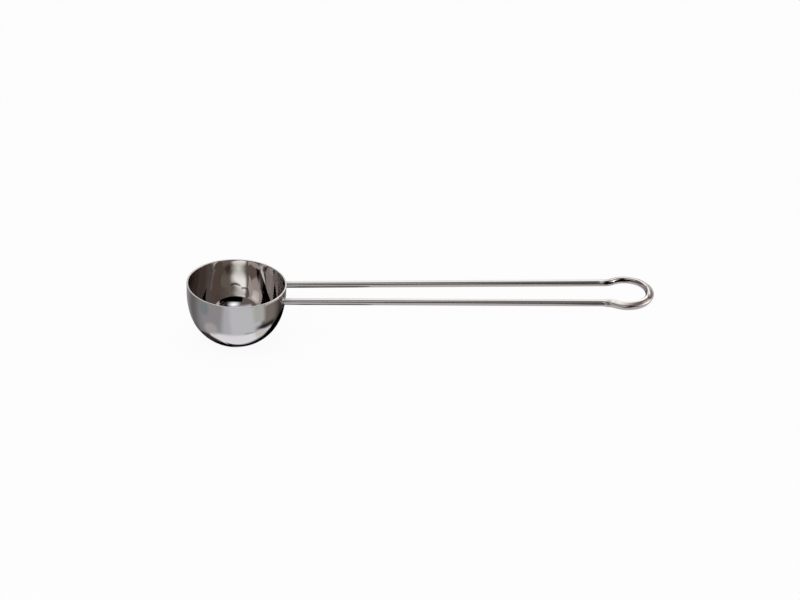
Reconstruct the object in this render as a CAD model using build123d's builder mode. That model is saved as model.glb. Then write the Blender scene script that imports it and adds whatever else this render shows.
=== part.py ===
from build123d import *
from math import asin, atan2, cos, degrees, radians, sin, sqrt, tan
import os

# A long handled measuring spoon, in millimetres: a deep drawn steel cup and one bent steel wire
# that leaves the cup's wall as two legs, flares out and closes in a flattened hanging loop.
# The origin is the centre of the cup's flat base, +Z is up and the handle points along +X.

# Cup, outside surface
rim_radius = 22.3
upper_wall_height = 4.0         # straight drawn wall below the rim
draft_angle = 1.31              # degrees, the straight wall's taper
wall_curve_radius = 42.07       # gentle curve from the straight wall down to the ball shape
ball_slope_angle = 13.65        # degrees from upright, where that curve runs into the ball
base_radius = 7.0               # flat that the cup stands on
base_blend_radius = 4.0         # between the flat and the ball
sheet_thickness = 0.7
rim_round = 0.25                # polished edges of the rim

# Wire, as drawn and where the loop is pressed flatter
wire_diameter = 3.0
loop_strip_width = 3.95         # pressed wire, in the loop's plane
loop_strip_thickness = 2.5      # pressed wire, through the loop's plane
pressing_length = 3.0           # straight run over which round turns to flat

# Route of the wire's centre line, in one level plane
wire_drop = 4.94                # below the rim
leg_spacing = 15.49             # between the two legs, where their lines pass the rim's radius
leg_spread_angle = 0.573        # degrees, each leg away from the middle
loop_reach = 184.9              # from the cup's axis to the loop's far end
loop_outset = 2.49              # how far the loop's widest place stands outside the legs' lines
loop_shoulder_radius = 9.9
loop_end_half_angle = 40.0      # degrees, half of the blunter arc at the loop's far end
flare_radius = 5.4              # outward bend from leg to loop

# Welds
weld_size = 0.7                 # side of the weld's section, along the cup and along the wire

# Cup heights from the base up. Straight wall, gentle curve and ball are tangent to each other, and
# the ball's centre is on the cup's axis.
straight_foot_radius = rim_radius - upper_wall_height * tan(radians(draft_angle))
curve_centre_offset = wall_curve_radius * cos(radians(draft_angle)) - straight_foot_radius
ball_radius = wall_curve_radius - curve_centre_offset / cos(radians(ball_slope_angle))
ball_centre_height = sqrt(ball_radius**2 - base_radius**2)
curve_centre_height = ball_centre_height + curve_centre_offset * tan(radians(ball_slope_angle))
straight_foot_height = curve_centre_height - wall_curve_radius * sin(radians(draft_angle))
bowl_height = straight_foot_height + upper_wall_height
ball_start_angle = -degrees(asin(ball_centre_height / ball_radius))
wire_height = bowl_height - wire_drop

# Filled cup: the outer surface of the cup, solid inside. The cup is hollowed from it, and the
# wire and the welds are cut to it.
with BuildPart() as filled_cup:
    with BuildSketch(Plane.XZ) as outline:
        with BuildLine():
            base = Line((0, 0), (base_radius, 0))
            ball = CenterArc(
                (0, ball_centre_height),
                ball_radius,
                ball_start_angle,
                -ball_slope_angle - ball_start_angle,
            )
            curve = JernArc(
                ball @ 1, ball % 1, wall_curve_radius, ball_slope_angle - draft_angle
            )
            wall = Line(curve @ 1, (rim_radius, bowl_height))
            Polyline(wall @ 1, (0, bowl_height), base @ 0)
        make_face()
        fillet(outline.vertices().sort_by_distance((base_radius, 0))[0], base_blend_radius)
    revolve(axis=Axis.Z)

# Cup: open at the top, one sheet thick, with softened rim edges
with BuildPart() as bowl:
    add(filled_cup.part)
    offset(amount=-sheet_thickness, openings=bowl.faces().sort_by(Axis.Z)[-1])
    fillet(bowl.edges().group_by(Axis.Z)[-1], rim_round)
bowl.part.label = "bowl"

# Rear half of the wire's route, on the +Y side. The leg is a straight line.
leg_direction = Vector(1, 0).rotate(Axis.Z, leg_spread_angle)
leg_normal = leg_direction.rotate(Axis.Z, 90)
leg_start = Vector(rim_radius, leg_spacing / 2)

# The loop's end arc is centred on the X axis and runs into the tighter shoulder arc.
loop_half_width = (
    leg_spacing / 2 + (loop_reach - rim_radius) * tan(radians(leg_spread_angle)) + loop_outset
)
arc_offset = (loop_half_width - loop_shoulder_radius) / sin(radians(loop_end_half_angle))
loop_end_radius = loop_shoulder_radius + arc_offset
shoulder_centre = Vector(
    loop_reach - loop_end_radius + arc_offset * cos(radians(loop_end_half_angle)),
    arc_offset * sin(radians(loop_end_half_angle)),
)

# The flare arc touches the leg's line, and touches the shoulder arc from outside.
to_flare_line = leg_start + leg_normal * flare_radius - shoulder_centre
along = to_flare_line.dot(leg_direction)
leg_length = -along - sqrt(
    along**2 - to_flare_line.dot(to_flare_line) + (loop_shoulder_radius + flare_radius) ** 2
)
flare_start = leg_start + leg_direction * leg_length
to_shoulder = shoulder_centre - (flare_start + leg_normal * flare_radius)
flare_angle = 90 + degrees(atan2(to_shoulder.Y, to_shoulder.X)) - leg_spread_angle

# Planes square to the leg where its round wire ends and where the pressed strip begins
lift = Vector(0, 0, wire_height)
strip_plane = Plane(flare_start + lift, x_dir=leg_normal, z_dir=leg_direction)
round_plane = strip_plane.offset(-pressing_length)

# Wire: round legs, a short pressed taper and the flat loop, with both ends cut to the cup's wall
with BuildPart() as wire_handle:
    with BuildSketch(round_plane) as round_section:
        Circle(wire_diameter / 2)
    with BuildSketch(strip_plane) as strip_section:
        SlotOverall(loop_strip_width, loop_strip_thickness)
    loft()
    extrude(round_section.sketch, amount=-round_plane.origin.X)
    with BuildLine(Plane.XY.offset(wire_height)) as rear_route:
        flare = JernArc(flare_start, leg_direction, flare_radius, flare_angle)
        shoulder = JernArc(
            flare @ 1,
            flare % 1,
            loop_shoulder_radius,
            loop_end_half_angle - 90 - leg_spread_angle - flare_angle,
        )
        JernArc(shoulder @ 1, shoulder % 1, loop_end_radius, -loop_end_half_angle)
    sweep(strip_section.sketch, path=rear_route.line)
    mirror(about=Plane.XZ)
    add(filled_cup.part, mode=Mode.SUBTRACT)
wire_handle.part.label = "wire_handle"

# Rear weld: the corner between the cup and the leg is filled with a sloping bead all round, and
# then the cup and the wire are taken away again
with BuildPart() as rear_weld:
    add(filled_cup.part)
    extrude(round_section.sketch, amount=-round_plane.origin.X)
    chamfer(rear_weld.edges().filter_by(GeomType.BSPLINE), weld_size)
    add(filled_cup.part, mode=Mode.SUBTRACT)
    add(wire_handle.part, mode=Mode.SUBTRACT)
rear_weld.part.label = "rear_weld"

# Front weld: the same on the other leg
with BuildPart() as front_weld:
    mirror(rear_weld.part, about=Plane.XZ)
front_weld.part.label = "front_weld"

os.makedirs("parts", exist_ok=True)
export_step(bowl.part, "parts/bowl.step")
export_step(wire_handle.part, "parts/wire_handle.step")
export_step(rear_weld.part, "parts/rear_weld.step")
export_step(front_weld.part, "parts/front_weld.step")

capacity = (filled_cup.part.volume - bowl.part.volume) / 1000
overall_length = rim_radius + loop_reach + loop_strip_width / 2
print(f"holds {capacity:.1f} ml to the rim, {overall_length:.1f} mm long, {bowl_height:.2f} mm high")
print(f"loop {2 * loop_half_width:.2f} mm wide on its centre line, wire at {wire_height:.2f} mm")
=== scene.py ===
"""A long handled steel measuring spoon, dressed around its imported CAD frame."""

from math import atan2, cos, pi, radians, sin, sqrt, tan
from typing import NamedTuple

import bmesh
import bpy
from bpy.props import FloatProperty, FloatVectorProperty, IntProperty, PointerProperty
from bpy.types import Operator, Panel, PropertyGroup
from mathutils import Matrix, Vector


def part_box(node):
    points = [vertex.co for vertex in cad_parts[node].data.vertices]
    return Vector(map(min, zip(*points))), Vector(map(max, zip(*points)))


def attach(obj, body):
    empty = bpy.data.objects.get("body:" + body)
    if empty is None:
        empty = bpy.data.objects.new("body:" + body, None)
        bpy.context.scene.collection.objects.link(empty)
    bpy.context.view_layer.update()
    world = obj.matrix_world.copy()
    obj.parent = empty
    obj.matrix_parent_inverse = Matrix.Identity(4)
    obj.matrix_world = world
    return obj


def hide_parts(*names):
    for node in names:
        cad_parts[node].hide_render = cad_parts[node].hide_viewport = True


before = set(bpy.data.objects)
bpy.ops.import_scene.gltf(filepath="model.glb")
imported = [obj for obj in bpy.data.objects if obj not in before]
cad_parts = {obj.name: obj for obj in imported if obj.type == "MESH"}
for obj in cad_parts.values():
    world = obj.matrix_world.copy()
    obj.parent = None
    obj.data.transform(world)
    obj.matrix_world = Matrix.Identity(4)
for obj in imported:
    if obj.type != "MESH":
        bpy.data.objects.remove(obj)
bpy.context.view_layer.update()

bl_info = {
    "name": "Measuring spoon",
    "version": (1, 0, 0),
    "blender": (4, 5, 0),
    "location": "View3D > Sidebar > Spoon",
    "description": "A steel measuring spoon with a bent wire handle, its studio and its camera",
    "category": "Add Mesh",
}

MM = 0.001
CUP_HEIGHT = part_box("bowl")[1].z

# Steps along the cup's half section, the wire's route and a bead's face
BASE_STEPS, BLEND_STEPS, BALL_STEPS, CURVE_STEPS, WALL_STEPS, RIM_STEPS = 4, 8, 44, 20, 6, 7
TAIL_STEPS, LEG_STEPS, PRESSING_STEPS = 2, 90, 12
FLARE_STEPS, SHOULDER_STEPS, END_STEPS = 16, 56, 32
BEAD_STEPS = 10

SEAM = 0.001 * MM               # points nearer than this are one
LEG_TAIL = 1.6 * MM             # of each leg inside the rim's radius, fitted to the wall
BEAD_SUNK = 0.05 * MM           # how deep a bead reaches into the cup and the wire
BEAD_WAVES = ((3, 1.0, 1.0), (7, 0.6, 2.0), (13, 0.35, 0.0))  # waves round it, share, shift by side
MEETING_ROUNDS = 6              # of sliding a point along a leg until it stands on the cup

# Patterns in the steel: how often they repeat in a metre, or in a radian where they run round
SHEET_RINGS = (0.35, 9000.0, 5200.0)    # round, up and out
SHEET_WAVES = 95.0
SHEET_CLOUD = 260.0
SHEET_HAIRS = (260.0, 5200.0, 900.0)
SHEET_HAIRS_TURN = (0.5, 0.3, 0.8)
SHEET_BUMP = 0.003 * MM
# The next reach round the welds is where the steel is darker and warmer: heat tint with painted
# shade at the joint
SHEET_HEAT_AND_SHADE = 5.2 * MM
WIRE_LINES = (130.0, 14000.0)           # along and round
WIRE_WAVES = (90.0, 260.0)
WIRE_CLOUD = 420.0
WIRE_MARKS = 2600.0
WIRE_BUMP = 0.02 * MM
# The next reach round the welds is where the wire is darker and warmer: heat tint with painted
# shade at the joint
WIRE_HEAT_AND_SHADE = 5.0 * MM
WELD_GRAIN = 1500.0
WELD_POOLS = 640.0
WELD_BUMP = 0.05 * MM
# Heat tint with painted shade: this share of the wire's diameter round each joint is wholly
# darkened
HEAT_AND_SHADE_CORE = 0.45                        # of the wire's diameter, wholly tinted

GLOSSY_BOUNCES = 10             # the cup's inside mirrors itself
FLOOR_HALF = 4.0                # half of its side
FLOOR_GLOW = 0.93               # of what is seen of the floor, and the rest takes the shadow
LEAST_AHEAD = 0.02              # keeps the directions behind a panel off it


class DomePanel(NamedTuple):
    """A soft box or flag on the dome: a flat card one unit from the cup. Its azimuth, elevation and
    tilt are in degrees, and its width, height and soft edge in those units."""

    name: str
    azimuth: float
    elevation: float
    width: float
    height: float
    tilt: float
    soft: float
    light: tuple


class Shade(NamedTuple):
    """One of the painted shadows and pools of light on the floor, which only the metal sees: part
    of a ring round x and y, in millimetres, that reaches half degrees to each side of its azimuth.
    Near 0 it has no hole, and without far it has no end. edge is how soft its near and far edges
    are, in millimetres, and side_edge its sides, in degrees."""

    name: str
    x: float
    y: float
    azimuth: float
    half: float
    near: float
    far: float | None
    edge: float
    side_edge: float
    light: tuple


# The studio that the metal sees, in linear light where 1 is white
DOME_RADIUS = 0.793
DOME_CENTRE = Vector((0.0, 0.0, 0.02))
ROOM_LEFT = (0.179, 0.129, 0.115)
ROOM_SIDES = (  # name, axis, where on it the side begins and is full, and its light
    ("right", 0, -0.5, 0.7, (0.232, 0.179, 0.165)),
    ("back", 1, 0.1, 0.8, (0.208, 0.172, 0.147)),
    ("front", 1, -0.35, -0.75, (0.178, 0.138, 0.136)),
    ("low", 2, 0.20, 0.10, (0.832, 0.767, 0.768)),
)
DOME_PANELS = (
    DomePanel("back_low", 169.9, 37.3, 1.22, 0.53, -1.4, 0.35, (2.028, 1.964, 1.992)),
    DomePanel("top_box", 165.7, 67.6, 0.74, 0.52, 87.9, 0.64, (1.470, 1.472, 1.390)),
    DomePanel("back_left", 177.5, 12.9, 8.00, 0.53, 38.4, 0.40, (0.261, 0.220, 0.194)),
    DomePanel("right_panel", 78.0, 2.0, 1.18, 0.78, 2.9, 0.73, (2.573, 2.395, 2.347)),
    DomePanel("right_dark", 48.0, 26.7, 1.87, 0.18, 25.7, 0.04, (0.678, 0.580, 0.572)),
    DomePanel("front_right", 15.1, 13.0, 4.13, 0.38, 69.8, 0.61, (0.000, 0.000, 0.000)),
    DomePanel("front_box", 5.5, 43.5, 0.35, 0.08, 2.2, 0.36, (2.504, 2.556, 2.743)),
    DomePanel("camera_card", 52.0, 5.2, 6.47, 0.59, -30.6, 0.04, (0.001, 0.001, 0.001)),
    DomePanel("left_high_card", -30.8, 52.9, 0.81, 0.31, 24.8, 0.16, (0.700, 0.700, 0.780)),
    DomePanel("back_edge_flag", 134.1, 28.9, 0.06, 0.65, -89.4, 0.04, (0.099, 0.084, 0.074)),
    DomePanel("back_thin_flag", -179.4, 36.4, 0.70, 0.05, 2.8, 0.06, (0.000, 0.000, 0.000)),
    DomePanel("back_window", 167.9, 16.2, 0.76, 0.32, -15.0, 0.47, (1.207, 1.156, 1.191)),
    DomePanel("front_high_flag", 34.3, 33.4, 0.06, 0.93, -70.9, 0.04, (0.001, 0.000, 0.000)),
    DomePanel("right_high_card", 108.1, 31.7, 0.35, 0.36, 41.5, 0.04, (0.745, 0.646, 0.633)),
    DomePanel("left_back_flag", -120.9, 55.9, 0.35, 0.20, 14.0, 0.05, (0.095, 0.073, 0.058)),
    DomePanel("front_low_flag", 29.1, 22.3, 0.10, 0.70, -58.0, 0.04, (0.000, 0.000, 0.000)),
)
FLOOR_IN_METAL = (0.950, 0.950, 0.950)
# Painted shadows and pools of light on the floor, which only the metal sees, each over the ones
# before it
PAINTED_FLOOR_SHADES = (
    Shade("near_cup", 0.0, 0.0, 0.0, 180.0, 0.0, 85.0, 40.0, 0.0, (0.601, 0.593, 0.650)),
    Shade("left", 11.6, 23.6, -63.6, 36.2, 18.0, None, 11.4, 8.4, (0.374, 0.368, 0.373)),
    Shade("right", -5.4, 6.2, 58.6, 37.8, 14.0, None, 12.6, 6.7, (0.256, 0.216, 0.202)),
    Shade("panel", 4.3, -4.5, 13.9, 34.5, 22.9, None, 1.3, 11.9, (0.719, 0.728, 0.771)),
    Shade("crescent", 2.7, 5.9, 7.0, 54.9, 7.4, 31.7, 5.7, 4.0, (1.041, 1.033, 1.086)),
    Shade("right_dark", -6.9, -14.6, 107.3, 12.2, 0.0, 29.8, 19.0, 14.3, (0.000, 0.000, 0.000)),
    Shade("back", 11.9, -7.2, 180.5, 78.7, 6.9, 84.4, 8.0, 49.9, (0.000, 0.000, 0.000)),
    Shade("left_back", -9.3, -0.9, -177.1, 60.4, 16.1, 90.3, 7.0, 57.1, (0.339, 0.317, 0.329)),
    Shade("contact", -11.8, -4.4, 0.0, 180.0, 0.0, 8.6, 3.0, 12.0, (0.050, 0.034, 0.041)),
    Shade("band", -1.4, 4.7, 55.4, 19.8, 33.9, 40.1, 7.5, 16.3, (0.005, 0.004, 0.004)),
    Shade("right_front", 9.3, -7.9, 41.9, 15.4, 29.0, 72.0, 6.9, 15.2, (0.570, 0.583, 0.562)),
    Shade("right_far", 10.0, -6.0, 88.9, 31.7, 51.9, None, 1.0, 4.0, (0.633, 0.586, 0.583)),
    Shade("left_near", -23.3, -18.9, 0.0, 180.0, 0.0, 7.4, 6.0, 15.0, (0.535, 0.494, 0.512)),
    Shade("right_back_ring", 17.0, 11.6, 66.0, 88.4, 11.1, 21.7, 2.6, 27.4, (0.000, 0.000, 0.000)),
    Shade("left_far", -53.7, -20.6, 0.0, 180.0, 0.0, 10.8, 8.4, 15.0, (0.274, 0.303, 0.320)),
    Shade("before_weld", 18.7, -16.7, 0.0, 180.0, 0.0, 5.2, 4.6, 15.0, (0.802, 0.757, 0.759)),
    Shade("under_left_dark", 7.1, -11.4, -102.1, 20.2, 5.8, 18.1, 8.2, 4.0, (0.000, 0.000, 0.000)),
    Shade("behind_loop", 172.0, 0.0, 180.0, 45.0, 36.0, 125.0, 10.0, 20.0, (0.100, 0.090, 0.088)),
    Shade("before_loop", 172.0, 0.0, 0.0, 18.0, 38.0, 220.0, 10.0, 14.0, (0.100, 0.090, 0.088)),
)


def length(name, description, millimetres):
    """A size in metres, with its default given in millimetres."""
    return FloatProperty(
        name=name,
        description=description,
        default=millimetres * MM,
        min=0.0,
        precision=5,
        subtype="DISTANCE",
        unit="LENGTH",
    )


def angle(name, description, in_degrees):
    """An angle whose default is given in degrees."""
    return FloatProperty(
        name=name,
        description=description,
        default=radians(in_degrees),
        subtype="ANGLE",
        unit="ROTATION",
    )


def share(name, description, default, most=1.0):
    """A plain number without a unit."""
    return FloatProperty(name=name, description=description, default=default, min=0.0, max=most)


def paint(name, description, default):
    """A linear colour."""
    return FloatVectorProperty(
        name=name,
        description=description,
        default=default,
        subtype="COLOR",
        size=3,
        min=0.0,
        max=4.0,
    )


class CupSizes(PropertyGroup):
    rim_radius: length("Rim radius", "Outside radius of the cup at its rim", 22.290)
    height: length("Height", "From the flat base up to the rim", CUP_HEIGHT / MM)
    wall_height: length("Drawn wall", "Height of the straight wall below the rim", 4.0)
    draft: angle("Draft", "Taper of the straight wall", 1.31)
    wall_curve: length("Wall curve", "Radius of the curve from straight wall to ball", 42.07)
    ball_slope: angle("Ball slope", "From upright, where the curve runs into the ball", 13.65)
    base_blend: length("Base blend", "Radius between the flat base and the ball", 4.0)
    sheet: length("Sheet", "Thickness of the drawn sheet", 0.7)
    rim_round: length("Rim round", "Radius of the polished rim edges", 0.15)
    turns: IntProperty(name="Steps round", description="Faces round the cup", default=288, min=32)


class HandleSizes(PropertyGroup):
    wire: length("Wire", "Diameter of the drawn wire", 3.0)
    strip_width: length("Pressed width", "Width of the pressed wire, from inside to outside", 3.5)
    strip_thickness: length("Pressed thickness", "Thickness of the pressed wire", 2.9)
    strip_tilt: angle("Pressed tilt", "Lift of the pressed wire's inner side", 26.0)
    pressing: length("Pressing run", "Run over which round turns to flat", 3.0)
    drop: length("Drop", "Depth of the wire's centre line below the rim", 4.94)
    spacing: length("Leg spacing", "Between the two legs' lines at the rim's radius", 15.49)
    spread: angle("Leg spread", "Each leg's angle away from the middle", 0.573)
    reach: length("Reach", "From the cup's axis to the loop's far end", 185.0)
    outset: length("Loop outset", "From the legs' lines out to the loop's widest place", 2.49)
    shoulder: length("Shoulder radius", "Radius of the loop's shoulders", 9.9)
    end_half_angle: angle("End half angle", "Half of the blunter arc at the loop's far end", 40.0)
    flare: length("Flare radius", "Radius of the outward bend from leg to loop", 5.4)
    squareness: share("Squareness", "2 is an oval pressed section, higher is squarer", 3.2, 20.0)
    ring: IntProperty(name="Steps round", description="Faces round the wire", default=72, min=12)


class WeldSizes(PropertyGroup):
    bead: length("Bead", "Reach of the weld along the cup's wall and along the wire", 0.72)
    fill: share("Fill", "0 is a hollow fillet, 1 a flat one", 0.35)
    ripple: length("Ripple", "Unevenness of the bead's edges", 0.035)
    steps: IntProperty(name="Steps round", description="Faces round each weld", default=96, min=16)


class FinishColours(PropertyGroup):
    sheet: paint("Cup steel", "Colour of the polished cup", (0.640, 0.630, 0.618))
    wire: paint("Wire steel", "Colour of the polished wire", (0.640, 0.630, 0.622))
    weld: paint("Weld metal", "Colour of the weld beads", (0.400, 0.380, 0.372))
    # Also paints the shade where the wire meets the cup, darkening the steel round the welds
    heat_and_shade: paint("Heat colour", "Faint warm tint that the welds leave", (0.400, 0.360, 0.345))


class StudioSettings(PropertyGroup):
    floor: paint("Floor", "Colour of the plain floor", (0.90, 0.90, 0.90))
    room: paint("Room", "Even light of the room on the floor", (0.75, 0.75, 0.75))
    elevation: angle("Camera elevation", "Above the horizon", 29.32)
    turn: angle("Camera turn", "Of the spoon under the camera", 4.348)
    roll: angle("Camera roll", "About the line of sight", -2.121)
    distance: length("Camera distance", "From the rim's centre, along the line of sight", 2670.2)
    lens: FloatProperty(
        name="Lens", description="Focal length in millimetres", default=270.0, min=1.0
    )
    place: FloatVectorProperty(
        name="Rim's place",
        description="The rim's centre from the picture's middle, at the spoon's distance",
        default=(-0.07273, 0.007423),
        size=2,
        subtype="XYZ",
        unit="LENGTH",
    )


# Node trees


class Value:
    """An output socket. Arithmetic on it adds Math nodes to its tree, and [name] gives another
    output of the same node."""

    def __init__(self, nodes, socket):
        self.nodes = nodes
        self.socket = socket

    def __getitem__(self, name):
        return Value(self.nodes, find_socket(self.socket.node.outputs, name))

    def __add__(self, other):
        return self.nodes.maths("ADD", self, other)

    def __sub__(self, other):
        return self.nodes.maths("SUBTRACT", self, other)

    def __rsub__(self, other):
        return self.nodes.maths("SUBTRACT", other, self)

    def __mul__(self, other):
        return self.nodes.maths("MULTIPLY", self, other)

    def __truediv__(self, other):
        return self.nodes.maths("DIVIDE", self, other)

    def __rtruediv__(self, other):
        return self.nodes.maths("DIVIDE", other, self)

    def __pow__(self, other):
        return self.nodes.maths("POWER", self, other)

    __radd__ = __add__
    __rmul__ = __mul__


def find_socket(sockets, key):
    """A socket by its index, its identifier or its name."""
    if isinstance(key, int):
        return sockets[key]
    for socket in sockets:
        if socket.identifier == key:
            return socket
    return sockets[key]


class Nodes:
    """Builds one node tree."""

    def __init__(self, tree):
        self.tree = tree
        tree.nodes.clear()

    def add(self, kind, settings=None, values=None):
        """A node of that type with its settings, then the values or links of its sockets."""
        node = self.tree.nodes.new(kind)
        for name, setting in (settings or {}).items():
            setattr(node, name, setting)
        for key, value in (values or {}).items():
            socket = find_socket(node.inputs, key)
            if isinstance(value, Value):
                self.tree.links.new(value.socket, socket)
            elif value is not None:
                socket.default_value = value
        return Value(self, node.outputs[0]) if node.outputs else None

    def maths(self, operation, *numbers):
        return self.add("ShaderNodeMath", {"operation": operation}, dict(enumerate(numbers)))

    def vectors(self, operation, *values):
        """Vector Math on vectors, and on a number last where the operation scales."""
        made = self.add("ShaderNodeVectorMath", {"operation": operation})
        sockets = made.socket.node.inputs
        for place, value in enumerate(values):
            socket = sockets["Scale"] if operation == "SCALE" and place == 1 else sockets[place]
            if isinstance(value, Value):
                self.tree.links.new(value.socket, socket)
            else:
                socket.default_value = value
        return made

    def dot(self, first, second):
        return self.vectors("DOT_PRODUCT", first, second)["Value"]

    def vector(self, x, y, z):
        return self.add("ShaderNodeCombineXYZ", None, {"X": x, "Y": y, "Z": z})

    def split(self, vector):
        """The vector's X, Y and Z."""
        parts = self.add("ShaderNodeSeparateXYZ", None, {"Vector": vector})
        return parts["X"], parts["Y"], parts["Z"]

    def blend(self, factor, first, second):
        """From the first colour to the second."""
        return self.add(
            "ShaderNodeMix",
            {"data_type": "RGBA"},
            {"Factor_Float": factor, "A_Color": first, "B_Color": second},
        )["Result_Color"]

    def rise(self, value, low, high):
        """0 below low, 1 above high and smooth between them, also with low above high."""
        return self.add(
            "ShaderNodeMapRange",
            {"interpolation_type": "SMOOTHSTEP"},
            {"Value": value, "From Min": low, "From Max": high, "To Min": 0.0, "To Max": 1.0},
        )

    def noise(self, vector, scale, detail=2.0, roughness=0.5):
        return self.add(
            "ShaderNodeTexNoise",
            None,
            {"Vector": vector, "Scale": scale, "Detail": detail, "Roughness": roughness},
        )


# Steel finishes


def rgba(colour):
    return (colour[0], colour[1], colour[2], 1.0)


def bump_and_surface(nodes, height, depth, colour, roughness):
    """A Principled metal whose bumps are the height times the depth, and the material's output."""
    bump = nodes.add("ShaderNodeBump", None, {"Strength": 1.0, "Distance": depth, "Height": height})
    metal = nodes.add(
        "ShaderNodeBsdfPrincipled",
        None,
        {"Base Color": colour, "Metallic": 1.0, "Roughness": roughness, "Normal": bump},
    )
    nodes.add("ShaderNodeOutputMaterial", None, {"Surface": metal})


def new_material(name):
    material = bpy.data.materials.new(name)
    material.use_nodes = True
    return material, Nodes(material.node_tree)


def heat_and_shade_mask(nodes, coordinates, handle, cup, reach):
    """1 at the welds, falling to 0 at that distance from them: where the heat tint and the painted
    shade of the joints lie.
    """
    middle = CupShape(cup).meet(*leg_line(handle, cup))
    x, y, z = nodes.split(coordinates)
    mirrored = nodes.vector(x, nodes.maths("ABSOLUTE", y), z)
    apart = nodes.vectors("DISTANCE", mirrored, middle)["Value"]
    return nodes.rise(apart, reach, handle.wire * HEAT_AND_SHADE_CORE)


def polished_sheet(scene):
    """Mirror polished drawn sheet: rings left by the polishing wheel and a few hairline scratches,
    which dull it, and a faint waviness from the press."""
    material, nodes = new_material("cup_polish")
    colours, cup, handle = scene.spoon_finish, scene.spoon_cup, scene.spoon_handle
    place = nodes.add("ShaderNodeTexCoord")["Object"]
    x, y, z = nodes.split(place)
    radius = (x * x + y * y) ** 0.5
    turn = nodes.maths("ARCTAN2", y, x)
    round_it, up, out = SHEET_RINGS
    ringed = nodes.vector(turn * round_it, z * up, radius * out)
    rings = nodes.noise(ringed, 1.0, 3.0, 0.6)
    waves = nodes.noise(place, SHEET_WAVES, 1.0)
    cloud = nodes.noise(place, SHEET_CLOUD, 3.0)
    tilted = nodes.add(
        "ShaderNodeMapping",
        None,
        {"Vector": place, "Rotation": SHEET_HAIRS_TURN, "Scale": SHEET_HAIRS},
    )
    hairs = nodes.rise(nodes.noise(tilted, 1.0, 2.0, 0.7), 0.66, 0.76)
    # Darker and warmer round the welds: heat tint with painted shade where the wire meets the cup
    heat_and_shade = heat_and_shade_mask(nodes, place, handle, cup, SHEET_HEAT_AND_SHADE)
    colour = nodes.blend(cloud * 0.35, rgba(colours.sheet), rgba([c * 0.93 for c in colours.sheet]))
    colour = nodes.blend(heat_and_shade * 0.35, colour, rgba(colours.heat_and_shade))
    roughness = 0.015 + rings * 0.015 + cloud * 0.01 + hairs * 0.04 + heat_and_shade * 0.04
    bump_and_surface(nodes, waves, SHEET_BUMP, colour, roughness)
    return material


def polished_wire(scene):
    """Bright drawn wire: lines along its run, with a slightly duller face where it was pressed."""
    material, nodes = new_material("wire_polish")
    colours, cup, handle = scene.spoon_finish, scene.spoon_cup, scene.spoon_handle
    place = nodes.add("ShaderNodeTexCoord")["Object"]
    run = nodes.add("ShaderNodeUVMap", {"uv_map": "run"})
    along, round_it, _ = nodes.split(run)

    def drawn(repeats):
        """The place on the wire's surface, stretched to that many repeats along and round."""
        return nodes.vector(along * repeats[0], round_it * repeats[1], 0.0)

    lines = nodes.noise(drawn(WIRE_LINES), 1.0, 3.0, 0.65)
    waves = nodes.noise(drawn(WIRE_WAVES), 1.0, 1.0)
    cloud = nodes.noise(place, WIRE_CLOUD, 3.0)
    pressed = nodes.add("ShaderNodeAttribute", {"attribute_name": "pressed"})["Fac"]
    marks = nodes.rise(nodes.noise(place, WIRE_MARKS, 2.0, 0.6), 0.62, 0.74) * pressed
    # Darker and warmer round the welds: heat tint with painted shade where the wire meets the cup
    heat_and_shade = heat_and_shade_mask(nodes, place, handle, cup, WIRE_HEAT_AND_SHADE)
    colour = nodes.blend(cloud * 0.35, rgba(colours.wire), rgba([c * 0.92 for c in colours.wire]))
    colour = nodes.blend(heat_and_shade * 0.4, colour, rgba(colours.heat_and_shade))
    roughness = 0.06 + lines * 0.05 + cloud * 0.02 + marks * 0.06 + heat_and_shade * 0.06
    height = waves * 0.4 + lines * 0.01 - marks * 0.02
    bump_and_surface(nodes, height, WIRE_BUMP, colour, roughness)
    return material


def weld_metal(scene):
    """Smooth weld beads with shallow pools, some of them tinted, and a fine grain."""
    material, nodes = new_material("weld_beads")
    colours = scene.spoon_finish
    place = nodes.add("ShaderNodeTexCoord")["Object"]
    grain = nodes.noise(place, WELD_GRAIN, 3.0, 0.6)
    pools = nodes.noise(place, WELD_POOLS, 1.0)
    colour = nodes.blend(pools, rgba(colours.weld), rgba(colours.heat_and_shade))
    roughness = 0.10 + grain * 0.12
    bump_and_surface(nodes, pools + grain * 0.25, WELD_BUMP, colour, roughness)
    return material


def dressed(piece, node):
    """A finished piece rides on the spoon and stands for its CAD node."""
    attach(piece, "root")
    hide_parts(node)


# Shapes


class CupShape:
    """The cup's outside, worked out from its sizes: a straight wall, a gentle curve whose centre is
    beyond the axis, and a ball centred on the axis, each tangent to the next."""

    def __init__(self, cup):
        self.cup = cup
        self.foot = cup.height - cup.wall_height
        self.beyond = (
            cup.wall_curve * cos(cup.draft) - cup.rim_radius + cup.wall_height * tan(cup.draft)
        )
        self.curve_height = self.foot + cup.wall_curve * sin(cup.draft)
        self.ball = cup.wall_curve - self.beyond / cos(cup.ball_slope)
        self.ball_height = self.curve_height - self.beyond * tan(cup.ball_slope)

    def straight(self, height, inset=0.0):
        """The straight wall's radius at that height, or that of a line inside it."""
        lean = self.cup.draft
        return self.cup.rim_radius - (self.cup.height - height) * tan(lean) - inset / cos(lean)

    def wall(self, height):
        """The outside radius at a height above the ball."""
        if height > self.foot:
            return self.straight(height)
        return sqrt(self.cup.wall_curve**2 - (height - self.curve_height) ** 2) - self.beyond

    def meet(self, point, along):
        """Slides the point along a level direction until it meets the cup's outside."""
        for _ in range(MEETING_ROUNDS):
            wall = sqrt(self.wall(point.z) ** 2 - point.y**2)
            point = point + along * ((wall - point.x) / along.x)
        return point


def arc(middle, radius, start, end, steps):
    """Points along an arc, as pairs of radius and height."""
    turns = [start + (end - start) * n / steps for n in range(steps + 1)]
    return [(middle[0] + radius * cos(turn), middle[1] + radius * sin(turn)) for turn in turns]


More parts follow.
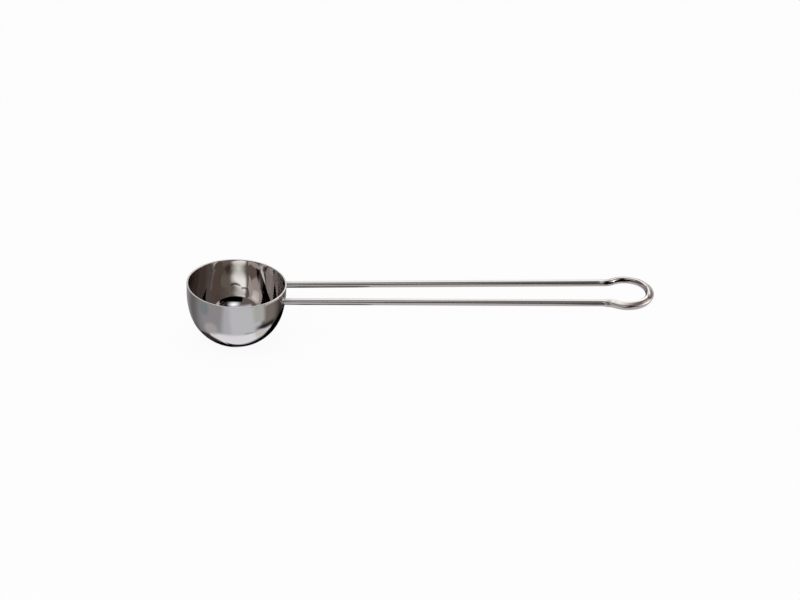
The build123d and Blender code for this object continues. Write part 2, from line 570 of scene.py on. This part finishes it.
def cup_profile(cup):
    """The cup's half section as (radius, height) points, from the middle of the base outside, up
    over the rim and down to the middle of the base inside."""
    shape = CupShape(cup)
    lean, blend, rounding = cup.draft, cup.base_blend, cup.rim_round
    blend_middle = sqrt((shape.ball - blend) ** 2 - (shape.ball_height - blend) ** 2)
    blend_turn = atan2(blend - shape.ball_height, blend_middle)
    corner = cup.height - rounding

    def side(inset):
        """From the base's blend up to the rim's rounding, on one face of the sheet."""
        points = arc((blend_middle, blend), blend - inset, -pi / 2, blend_turn, BLEND_STEPS)
        middle = (0.0, shape.ball_height)
        points += arc(middle, shape.ball - inset, blend_turn, -cup.ball_slope, BALL_STEPS)[1:]
        middle = (-shape.beyond, shape.curve_height)
        points += arc(middle, cup.wall_curve - inset, -cup.ball_slope, -lean, CURVE_STEPS)[1:]
        low = points[-1][1]
        heights = [low + (corner - low) * n / WALL_STEPS for n in range(1, WALL_STEPS)]
        return points + [(shape.straight(height, inset), height) for height in heights]

    base = [(blend_middle * n / BASE_STEPS, 0.0) for n in range(BASE_STEPS)]
    outer = (shape.straight(corner, rounding), corner)
    inner = (shape.straight(corner, cup.sheet - rounding), corner)
    points = base + side(0.0)
    points += arc(outer, rounding, -lean, pi / 2, RIM_STEPS)
    points += arc(inner, rounding, pi / 2, pi - lean, RIM_STEPS)
    points += reversed(side(cup.sheet))
    points += [(radius, cup.sheet) for radius, _height in reversed(base)]
    return points


def leg_line(handle, cup, side=1):
    """Where one leg's centre line passes the rim's radius, and its direction. side is 1 for the
    rear leg and -1 for the front one."""
    origin = Vector((cup.rim_radius, handle.spacing / 2 * side, cup.height - handle.drop))
    return origin, Vector((cos(handle.spread), sin(handle.spread) * side, 0.0))


class Station:
    """One place on the wire's centre line."""

    def __init__(self, place, heading, pressed, run):
        self.place = place
        self.heading = heading
        self.pressed = pressed
        self.run = run


def wire_route(handle, cup):
    """The wire's centre line from the rear leg's end on the cup, round the loop and back."""
    start = Vector((cup.rim_radius, handle.spacing / 2))
    along = Vector((cos(handle.spread), sin(handle.spread)))
    left = Vector((-along.y, along.x))
    half_width = start.y + (handle.reach - start.x) * tan(handle.spread) + handle.outset
    offset = (half_width - handle.shoulder) / sin(handle.end_half_angle)
    end_radius = handle.shoulder + offset
    end_turn = handle.end_half_angle
    shoulder_middle = Vector(
        (handle.reach - end_radius + offset * cos(end_turn), offset * sin(end_turn))
    )
    to_line = start + left * handle.flare - shoulder_middle
    ahead = to_line.dot(along)
    leg = -ahead - sqrt(ahead**2 - to_line.length_squared + (handle.shoulder + handle.flare) ** 2)
    flare_start = start + along * leg
    to_shoulder = shoulder_middle - (flare_start + left * handle.flare)
    flare_turn = pi / 2 + atan2(to_shoulder.y, to_shoulder.x) - handle.spread

    stations = []
    heading, place, run = handle.spread, start - along * LEG_TAIL, 0.0

    def pressed_at(point):
        before = (flare_start - point).dot(along)
        value = min(1.0, max(0.0, 1.0 - before / handle.pressing))
        return value * value * (3.0 - 2.0 * value)

    def walk(distance, turn, steps):
        nonlocal heading, place, run
        step = distance / steps
        for _ in range(steps):
            heading += turn / steps / 2
            chord = step if turn == 0.0 else 2 * abs(distance / turn) * sin(abs(turn / steps) / 2)
            place = place + Vector((cos(heading), sin(heading))) * chord
            heading += turn / steps / 2
            run += step
            stations.append(Station(place.copy(), heading, pressed_at(place), run))

    stations.append(Station(place.copy(), heading, 0.0, 0.0))
    walk(LEG_TAIL, 0.0, TAIL_STEPS)
    walk(leg - handle.pressing, 0.0, LEG_STEPS)
    walk(handle.pressing, 0.0, PRESSING_STEPS)
    walk(handle.flare * flare_turn, flare_turn, FLARE_STEPS)
    shoulder_turn = end_turn - pi / 2 - handle.spread - flare_turn
    walk(handle.shoulder * -shoulder_turn, shoulder_turn, SHOULDER_STEPS)
    walk(end_radius * end_turn, -end_turn, END_STEPS)
    whole = 2 * run
    for station in reversed(stations[:-1]):
        stations.append(
            Station(
                Vector((station.place.x, -station.place.y)),
                pi - station.heading,
                station.pressed,
                whole - station.run,
            )
        )
    return stations


def polyline(name, points, attributes=()):
    """A mesh of one open line through the points, with attributes on them."""
    mesh = bpy.data.meshes.new(name)
    mesh.from_pydata(points, [(n, n + 1) for n in range(len(points) - 1)], [])
    for label, kind, values in attributes:
        layer = mesh.attributes.new(label, kind, "POINT")
        if kind == "FLOAT_VECTOR":
            layer.data.foreach_set("vector", [v for value in values for v in value])
        else:
            layer.data.foreach_set("value", values)
    return linked(name, mesh)


class ShapeTree(Nodes):
    """A geometry tree with named inputs that ends in Realize Instances and Set Material."""

    def __init__(self, name, inputs):
        super().__init__(bpy.data.node_groups.new(name, "GeometryNodeTree"))
        face = self.tree.interface
        face.new_socket("Geometry", in_out="INPUT", socket_type="NodeSocketGeometry")
        self.identifiers = {}
        for label, kind in inputs.items():
            socket = face.new_socket(label, in_out="INPUT", socket_type=kind)
            self.identifiers[label] = socket.identifier
        socket = face.new_socket("Material", in_out="INPUT", socket_type="NodeSocketMaterial")
        self.identifiers["Material"] = socket.identifier
        face.new_socket("Geometry", in_out="OUTPUT", socket_type="NodeSocketGeometry")
        self.given = self.add("NodeGroupInput")

    def wrapped_grid(self, steps_round):
        """A grid with one row for each point of the given line and steps_round faces in each row,
        a picker that reads the line's point of a row, the row, their count, and the turn round the
        section."""
        sizes = self.add(
            "GeometryNodeAttributeDomainSize", {"component": "MESH"}, {"Geometry": self.given}
        )
        count = sizes["Point Count"]
        spans = {"Size X": 1.0, "Size Y": 1.0, "Vertices X": count, "Vertices Y": steps_round + 1}
        grid = self.add("GeometryNodeMeshGrid", None, spans)
        x, y, _ = self.split(self.position())
        row = self.maths("ROUND", (x + 0.5) * (count - 1))
        turn = (y + 0.5) * (2 * pi)

        def pick(kind, value):
            return self.add(
                "GeometryNodeSampleIndex",
                {"data_type": kind, "domain": "POINT"},
                {"Geometry": self.given, "Value": value, "Index": row},
            )

        return grid, pick, row, count, turn

    def position(self):
        return self.add("GeometryNodeInputPosition")

    def attribute(self, kind, name):
        return self.add("GeometryNodeInputNamedAttribute", {"data_type": kind}, {"Name": name})

    def close(self, mesh, position):
        """Moves the grid's points, closes its seams and poles, and ends the tree."""
        for kind, values in (
            ("GeometryNodeSetPosition", {"Position": position}),
            ("GeometryNodeMergeByDistance", {"Distance": SEAM}),
            ("GeometryNodeSetShadeSmooth", {"Shade Smooth": True}),
            ("GeometryNodeRealizeInstances", {}),
            ("GeometryNodeSetMaterial", {"Material": self.given["Material"]}),
            ("NodeGroupOutput", {}),
        ):
            mesh = self.add(kind, None, {"Geometry": mesh, **values})


def turned_shell_tree():
    """Turns a half section about the Z axis."""
    tree = ShapeTree("turned_shell", {"Steps Round": "NodeSocketInt"})
    grid, pick, _, _, turn = tree.wrapped_grid(tree.given["Steps Round"])
    radius, _, height = tree.split(pick("FLOAT_VECTOR", tree.position()))
    x, y = radius * tree.maths("COSINE", turn), radius * tree.maths("SINE", turn)
    tree.close(grid, tree.vector(x, y, height))
    return tree


def pressed_wire_tree():
    """Sweeps a wire along its route: round on the legs, pressed flatter on the loop, with both ends
    fitted to the cup's curved wall."""
    sizes = (
        "Wire Radius",
        "Strip Half Width",
        "Strip Half Thickness",
        "Strip Tilt",
        "Squareness",
        "Wall Curve Radius",
        "Wall Curve Height",
        "Wall Curve Beyond",
    )
    inputs = {"Steps Round": "NodeSocketInt", **dict.fromkeys(sizes, "NodeSocketFloat")}
    tree = ShapeTree("pressed_wire", inputs)
    given = tree.given
    grid, pick, row, count, turn = tree.wrapped_grid(given["Steps Round"])
    centre = pick("FLOAT_VECTOR", tree.position())
    across = pick("FLOAT_VECTOR", tree.attribute("FLOAT_VECTOR", "across"))
    pressed = pick("FLOAT", tree.attribute("FLOAT", "pressed"))
    run = pick("FLOAT", tree.attribute("FLOAT", "run"))
    wire, power = given["Wire Radius"], given["Squareness"]
    flat, thick = wire / given["Strip Half Width"], wire / given["Strip Half Thickness"]
    wide = tree.maths("ABSOLUTE", tree.maths("COSINE", turn) * flat)
    high = tree.maths("ABSOLUTE", tree.maths("SINE", turn) * thick)
    radius = wire + pressed * wire * ((wide**power + high**power) ** (-1.0 / power) - 1.0)
    tilted = turn - pressed * given["Strip Tilt"]
    aside = tree.vectors("SCALE", across, radius * tree.maths("COSINE", tilted))
    above = tree.vector(0.0, 0.0, radius * tree.maths("SINE", tilted))
    x, y, z = tree.split(tree.vectors("ADD", tree.vectors("ADD", centre, aside), above))
    up = z - given["Wall Curve Height"]
    wall = (given["Wall Curve Radius"] ** 2.0 - up * up) ** 0.5 - given["Wall Curve Beyond"]
    on_wall = tree.maths("SQRT", wall * wall - y * y)
    first, last = tree.maths("LESS_THAN", row, 0.5), tree.maths("GREATER_THAN", row, count - 1.5)
    fitted = tree.vector(x + tree.maths("MAXIMUM", first, last) * (on_wall - x), y, z)
    stored = tree.add(
        "GeometryNodeStoreNamedAttribute",
        {"data_type": "FLOAT2", "domain": "CORNER"},
        {"Geometry": grid, "Name": "run", "Value": tree.vector(run, turn * wire, 0.0)},
    )
    stored = tree.add(
        "GeometryNodeStoreNamedAttribute",
        {"data_type": "FLOAT", "domain": "POINT"},
        {"Geometry": stored, "Name": "pressed", "Value": pressed},
    )
    tree.close(stored, fitted)
    return tree


def grown(name, line, tree, values):
    """Runs the tree on the line and gives the result as a plain mesh object."""
    modifier = line.modifiers.new(tree.tree.name, "NODES")
    modifier.node_group = tree.tree
    for label, value in values.items():
        modifier[tree.identifiers[label]] = value
    bpy.context.view_layer.update()
    graph = bpy.context.evaluated_depsgraph_get()
    mesh = bpy.data.meshes.new_from_object(line.evaluated_get(graph))
    line.modifiers.clear()
    bpy.data.objects.remove(line)
    return finished(name, mesh)


def linked(name, data):
    """A new object of that mesh, lamp or camera, in the scene."""
    made = bpy.data.objects.new(name, data)
    bpy.context.scene.collection.objects.link(made)
    return made


def finished(name, mesh):
    """An object at the origin with that mesh: doubles merged, smooth, its faces outwards and no
    empty slot before its material."""
    shape = bmesh.new()
    shape.from_mesh(mesh)
    bmesh.ops.remove_doubles(shape, verts=shape.verts, dist=SEAM)
    bmesh.ops.recalc_face_normals(shape, faces=shape.faces)
    for face in shape.faces:
        face.smooth = True
    shape.to_mesh(mesh)
    shape.free()
    while mesh.materials[0] is None:
        mesh.materials.pop(index=0)
    mesh.name = name
    return linked(name, mesh)


def fill_ends(made):
    """Closes the open ends of a tube."""
    shape = bmesh.new()
    shape.from_mesh(made.data)
    rims = [edge for edge in shape.edges if edge.is_boundary]
    for face in bmesh.ops.holes_fill(shape, edges=rims, sides=0)["faces"]:
        face.smooth = False
    shape.to_mesh(made.data)
    shape.free()


class SPOON_OT_cup(Operator):
    """Turn the cup from its half section"""

    bl_idname = "spoon.cup"
    bl_label = "Cup"

    def execute(self, context):
        cup = context.scene.spoon_cup
        values = {"Steps Round": cup.turns, "Material": polished_sheet(context.scene)}
        line = polyline("cup_section", [(r, 0.0, z) for r, z in cup_profile(cup)])
        made = grown("cup", line, turned_shell_tree(), values)
        dressed(made, "bowl")
        return {"FINISHED"}


class SPOON_OT_handle(Operator):
    """Sweep the wire handle with its pressed loop"""

    bl_idname = "spoon.handle"
    bl_label = "Wire handle"

    def execute(self, context):
        cup, handle = context.scene.spoon_cup, context.scene.spoon_handle
        shape = CupShape(cup)
        steel = polished_wire(context.scene)
        height = cup.height - handle.drop
        stations = wire_route(handle, cup)
        across = [(-sin(s.heading), cos(s.heading), 0.0) for s in stations]
        line = polyline(
            "wire_route",
            [(s.place.x, s.place.y, height) for s in stations],
            (
                ("across", "FLOAT_VECTOR", across),
                ("pressed", "FLOAT", [s.pressed for s in stations]),
                ("run", "FLOAT", [s.run for s in stations]),
            ),
        )
        made = grown(
            "handle",
            line,
            pressed_wire_tree(),
            {
                "Steps Round": handle.ring,
                "Wire Radius": handle.wire / 2,
                "Strip Half Width": handle.strip_width / 2,
                "Strip Half Thickness": handle.strip_thickness / 2,
                "Strip Tilt": handle.strip_tilt,
                "Squareness": handle.squareness,
                "Wall Curve Radius": cup.wall_curve,
                "Wall Curve Height": shape.curve_height,
                "Wall Curve Beyond": shape.beyond,
                "Material": steel,
            },
        )
        fill_ends(made)
        dressed(made, "wire_handle")
        return {"FINISHED"}


def bead_mesh(name, cup, handle, weld, side):
    """A closed ring of weld metal in the corner between the wall and one leg. side is 1 for the
    rear leg and -1 for the front one."""
    cup_shape = CupShape(cup)
    origin, along = leg_line(handle, cup, side)
    across = Vector((-along.y, along.x, 0.0))
    wire = handle.wire / 2

    shape = bmesh.new()
    rings = []
    for n in range(weld.steps):
        turn = 2 * pi * n / weld.steps
        outward = across * cos(turn) + Vector((0.0, 0.0, sin(turn)))
        uneven = sum(part * sin(count * turn + shift * side) for count, part, shift in BEAD_WAVES)
        reach = weld.bead + weld.ripple * uneven
        corner = cup_shape.meet(origin + outward * wire, along)
        foot = cup_shape.meet(origin + outward * (wire + reach), along)
        toe = corner + along * reach
        control = corner.lerp((foot + toe) / 2, weld.fill)
        section = []
        for k in range(BEAD_STEPS + 1):
            t = k / BEAD_STEPS
            section.append(foot * (1 - t) ** 2 + control * (2 * t * (1 - t)) + toe * t**2)
        section.append(toe - outward * BEAD_SUNK)
        section.append(corner - outward * BEAD_SUNK - along * BEAD_SUNK)
        section.append(foot - along * BEAD_SUNK)
        rings.append([shape.verts.new(point) for point in section])
    for n, ring in enumerate(rings):
        following = rings[(n + 1) % len(rings)]
        for k in range(len(ring)):
            after = (k + 1) % len(ring)
            shape.faces.new((ring[k], ring[after], following[after], following[k]))
    mesh = bpy.data.meshes.new(name)
    shape.to_mesh(mesh)
    shape.free()
    return mesh


class SPOON_OT_welds(Operator):
    """Lay the two weld beads between the cup and the wire"""

    bl_idname = "spoon.welds"
    bl_label = "Welds"

    def execute(self, context):
        scene = context.scene
        metal = weld_metal(scene)
        sizes = scene.spoon_cup, scene.spoon_handle, scene.spoon_weld
        for node, side in (("rear_weld", 1), ("front_weld", -1)):
            name = f"{node}_bead"
            mesh = bead_mesh(name, *sizes, side)
            mesh.materials.append(metal)
            dressed(finished(name, mesh), node)
        return {"FINISHED"}


# Studio


def studio_world(scene):
    """An even pale room that lights the floor, and is white to whatever sees it."""
    world = bpy.data.worlds.new("studio")
    scene.world = world
    world.use_nodes = True
    nodes = Nodes(world.node_tree)
    rays = nodes.add("ShaderNodeLightPath")
    seen = rays["Is Camera Ray"] + rays["Is Glossy Ray"] + rays["Is Transmission Ray"]
    colour = nodes.blend(seen, rgba(scene.spoon_studio.room), (1.0, 1.0, 1.0, 1.0))
    lit = nodes.add("ShaderNodeBackground", None, {"Color": colour, "Strength": 1.0})
    nodes.add("ShaderNodeOutputWorld", None, {"Surface": lit})


def from_angles(azimuth, elevation):
    """A direction: azimuth 0 is in front of the spoon and 90 beyond its loop."""
    a, e = radians(azimuth), radians(elevation)
    return Vector((sin(a) * cos(e), -cos(a) * cos(e), sin(e)))


def dome_material():
    """The studio as the metal sees it: a pale sweep low all round, a dim room above it, and the
    soft boxes and dark flags of DOME_PANELS, each over the ones before it."""
    material, nodes = new_material("studio_dome")
    material.cycles.emission_sampling = "NONE"
    place = nodes.add("ShaderNodeTexCoord")["Object"]
    outward = nodes.vectors("NORMALIZE", nodes.vectors("SUBTRACT", place, DOME_CENTRE))
    axes = nodes.split(outward)
    colour = rgba(ROOM_LEFT)
    for _name, axis, begins, full, light in ROOM_SIDES:
        colour = nodes.blend(nodes.rise(axes[axis], begins, full), colour, rgba(light))
    for panel in DOME_PANELS:
        facing = from_angles(panel.azimuth, panel.elevation)
        level = Vector((cos(radians(panel.azimuth)), sin(radians(panel.azimuth)), 0.0))
        lean = Matrix.Rotation(radians(panel.tilt), 3, facing)
        across, upward = lean @ level, lean @ level.cross(facing)
        ahead = nodes.maths("MAXIMUM", nodes.dot(outward, facing), LEAST_AHEAD)
        mask = 1.0
        for axis, span in ((across, panel.width), (upward, panel.height)):
            aside = nodes.maths("ABSOLUTE", nodes.dot(outward, axis)) / ahead
            mask = nodes.rise(aside, (span + panel.soft) / 2, (span - panel.soft) / 2) * mask
        colour = nodes.blend(mask, colour, rgba(panel.light))
    glow = nodes.add("ShaderNodeEmission", None, {"Color": colour, "Strength": 1.0})
    nodes.add("ShaderNodeOutputMaterial", None, {"Surface": glow})
    return material


def floor_material(scene):
    """Pale floor that keeps the spoon's shadow. The camera sees it almost evenly white. The metal
    sees it nearly white, under painted shadows and pools of light, each over the ones before it."""
    material, nodes = new_material("floor")
    material.cycles.emission_sampling = "NONE"
    rays = nodes.add("ShaderNodeLightPath")
    place = nodes.add("ShaderNodeTexCoord")["Object"]
    colour = rgba(FLOOR_IN_METAL)
    for shade in PAINTED_FLOOR_SHADES:
        away = nodes.vectors("SUBTRACT", place, (shade.x * MM, shade.y * MM, 0.0))
        radius = nodes.vectors("LENGTH", away)["Value"]
        edge, side_edge = shade.edge / 2, shade.side_edge / 2
        mask = 1.0
        if shade.half < 180.0:
            level = nodes.vectors("NORMALIZE", away)
            aside = nodes.maths("ARCCOSINE", nodes.dot(level, from_angles(shade.azimuth, 0.0)))
            outer, inner = radians(shade.half + side_edge), radians(shade.half - side_edge)
            mask = nodes.rise(aside, outer, inner) * mask
        if shade.near > 0.0:
            mask = nodes.rise(radius, (shade.near - edge) * MM, (shade.near + edge) * MM) * mask
        if shade.far is not None:
            mask = nodes.rise(radius, (shade.far + edge) * MM, (shade.far - edge) * MM) * mask
        colour = nodes.blend(mask, colour, rgba(shade.light))
    plain = nodes.add("ShaderNodeBsdfDiffuse", None, {"Color": rgba(scene.spoon_studio.floor)})
    # What the metal sees: the nearly white floor under its painted shadows and pools of light
    painted_shades = nodes.add("ShaderNodeEmission", None, {"Color": colour, "Strength": 1.0})
    white = nodes.add("ShaderNodeEmission", None, {"Color": (1.0, 1.0, 1.0, 1.0), "Strength": 1.0})
    seen = rays["Is Camera Ray"] * FLOOR_GLOW + rays["Is Transmission Ray"] * FLOOR_GLOW
    mixed = nodes.add("ShaderNodeMixShader", None, {0: seen, 1: plain, 2: white})
    mixed = nodes.add("ShaderNodeMixShader", None, {0: rays["Is Glossy Ray"], 1: mixed, 2: painted_shades})
    nodes.add("ShaderNodeOutputMaterial", None, {"Surface": mixed})
    return material


def aimed(place, target):
    """A matrix at place whose -Z axis looks at target."""
    turned = (target - place).to_track_quat("-Z", "Y")
    return Matrix.Translation(place) @ turned.to_matrix().to_4x4()


def softbox(name, azimuth, elevation, distance, width, height, radiance):
    """An area lamp of that radiance, turned to the cup. It lights the floor and throws the soft
    shadow, and the metal sees the dome instead of it."""
    lamp = bpy.data.lights.new(name, "AREA")
    lamp.shape = "RECTANGLE"
    lamp.size, lamp.size_y = width, height
    lamp.energy = radiance * width * height * pi
    made = linked(name, lamp)
    made.matrix_world = aimed(DOME_CENTRE + distance * from_angles(azimuth, elevation), DOME_CENTRE)
    made.visible_camera = False
    made.visible_glossy = False


def stage_mesh(name, mesh, material):
    """A mesh of the stage, which isn't part of the spoon."""
    mesh.materials.append(material)
    made = linked(name, mesh)
    return made


def lay_floor(scene):
    """A plain square, level with the cup's base."""
    near, far = -FLOOR_HALF, FLOOR_HALF
    mesh = bpy.data.meshes.new("floor")
    corners = [(near, near, 0), (far, near, 0), (far, far, 0), (near, far, 0)]
    mesh.from_pydata(corners, [], [(0, 1, 2, 3)])
    stage_mesh("floor", mesh, floor_material(scene))


def raise_dome():
    """The dome round the spoon, which only glossy rays see."""
    shell = bmesh.new()
    bmesh.ops.create_uvsphere(shell, u_segments=96, v_segments=48, radius=DOME_RADIUS)
    bmesh.ops.translate(shell, verts=shell.verts, vec=DOME_CENTRE)
    mesh = bpy.data.meshes.new("studio_dome")
    shell.to_mesh(mesh)
    shell.free()
    made = stage_mesh("studio_dome", mesh, dome_material())
    made.visible_camera = False
    made.visible_diffuse = False
    made.visible_transmission = False
    made.visible_shadow = False


def turned_level(by):
    """A turn about the third axis."""
    return Matrix(((cos(by), -sin(by), 0.0), (sin(by), cos(by), 0.0), (0.0, 0.0, 1.0)))


def set_camera(scene):
    """The photograph's camera, placed by where it shows the middle of the cup's rim."""
    studio = scene.spoon_studio
    up, level = sin(studio.elevation), cos(studio.elevation)
    tilt = Matrix(((1.0, 0.0, 0.0), (0.0, up, level), (0.0, level, -up)))
    axes = turned_level(studio.roll) @ tilt @ turned_level(studio.turn)
    rim = Vector((0.0, 0.0, scene.spoon_cup.height))
    place = rim - axes.transposed() @ Vector((*studio.place, studio.distance))
    lens = bpy.data.cameras.new("camera")
    lens.lens = studio.lens
    lens.sensor_width = 36.0
    lens.clip_start, lens.clip_end = 0.01, 50.0
    camera = linked("camera", lens)
    turned = Matrix((axes[0], axes[1], -axes[2])).transposed().to_4x4()
    camera.matrix_world = Matrix.Translation(place) @ turned
    scene.camera = camera


class SPOON_OT_studio(Operator):
    """Set up the world, the floor, the dome, the lamp and the camera"""

    bl_idname = "spoon.studio"
    bl_label = "Studio"

    def execute(self, context):
        scene = context.scene
        scene.view_settings.view_transform = "Standard"
        scene.cycles.glossy_bounces = GLOSSY_BOUNCES
        studio_world(scene)
        lay_floor(scene)
        raise_dome()
        softbox(
            "key_box",
            azimuth=-35.0,
            elevation=55.0,
            distance=0.60,
            width=0.30,
            height=0.30,
            radiance=1.5,
        )
        set_camera(scene)
        return {"FINISHED"}


class SPOON_PT_builder(Panel):
    """Lists the spoon's pieces with their sizes, and its finishes"""

    bl_idname = "SPOON_PT_builder"
    bl_label = "Measuring spoon"
    bl_space_type = "VIEW_3D"
    bl_region_type = "UI"
    bl_category = "Spoon"

    def draw(self, context):
        for operator, settings in (
            (SPOON_OT_cup, context.scene.spoon_cup),
            (SPOON_OT_handle, context.scene.spoon_handle),
            (SPOON_OT_welds, context.scene.spoon_weld),
            (SPOON_OT_studio, context.scene.spoon_studio),
        ):
            box = self.layout.box()
            box.operator(operator.bl_idname)
            for name in settings.__annotations__:
                box.prop(settings, name)
        box = self.layout.box()
        box.label(text="Finishes")
        for name in FinishColours.__annotations__:
            box.prop(context.scene.spoon_finish, name)


CLASSES = (
    CupSizes,
    HandleSizes,
    WeldSizes,
    FinishColours,
    StudioSettings,
    SPOON_OT_cup,
    SPOON_OT_handle,
    SPOON_OT_welds,
    SPOON_OT_studio,
    SPOON_PT_builder,
)
SETTINGS = {
    "spoon_cup": CupSizes,
    "spoon_handle": HandleSizes,
    "spoon_weld": WeldSizes,
    "spoon_finish": FinishColours,
    "spoon_studio": StudioSettings,
}


def register():
    for made in CLASSES:
        bpy.utils.register_class(made)
    for name, group in SETTINGS.items():
        setattr(bpy.types.Scene, name, PointerProperty(type=group))


def unregister():
    for name in SETTINGS:
        delattr(bpy.types.Scene, name)
    for made in reversed(CLASSES):
        bpy.utils.unregister_class(made)


def main():
    register()
    bpy.ops.spoon.cup()
    bpy.ops.spoon.handle()
    bpy.ops.spoon.welds()
    bpy.ops.spoon.studio()


if __name__ == "__main__":
    main()
